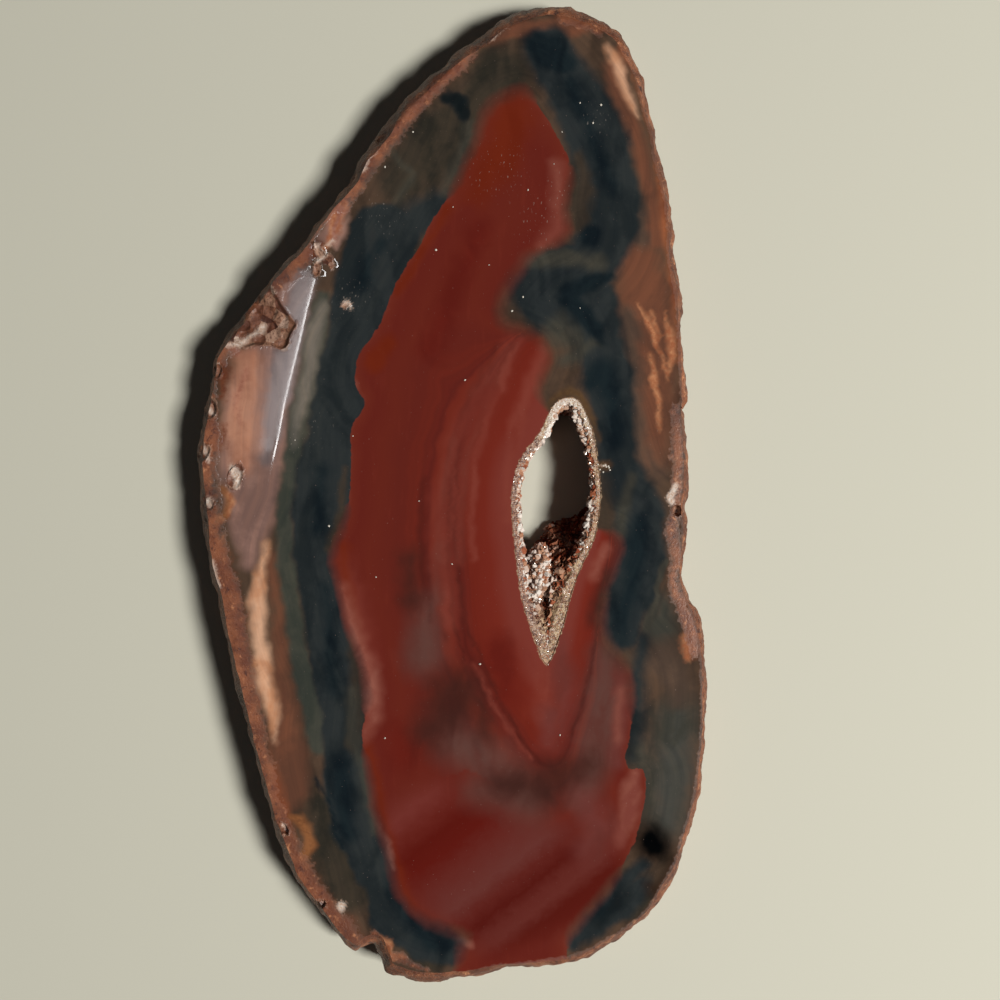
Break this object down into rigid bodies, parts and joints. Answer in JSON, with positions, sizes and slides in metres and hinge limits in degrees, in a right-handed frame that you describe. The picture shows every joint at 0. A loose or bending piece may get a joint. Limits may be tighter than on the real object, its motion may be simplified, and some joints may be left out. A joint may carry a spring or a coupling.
{
  "type": "agate slice",
  "caption": "Polished slice of red and blue-black banded agate with a rough rind and an open hollow lined with quartz crystals.",
  "frame": {"origin": "middle of the slice's box seen from above, on the sawn base", "axes": "+Z out of the polished face, +Y along the length towards the narrow end, +X to the right seen from above"},
  "size_m": [0.052, 0.0996, 0.006],
  "materials": {
    "agate": "polished",
    "quartz": "crystalline"
  },
  "bodies": {
    "root": {"agate_slice": "agate", "quartz_crust": "quartz"}
  },
  "joints": []
}
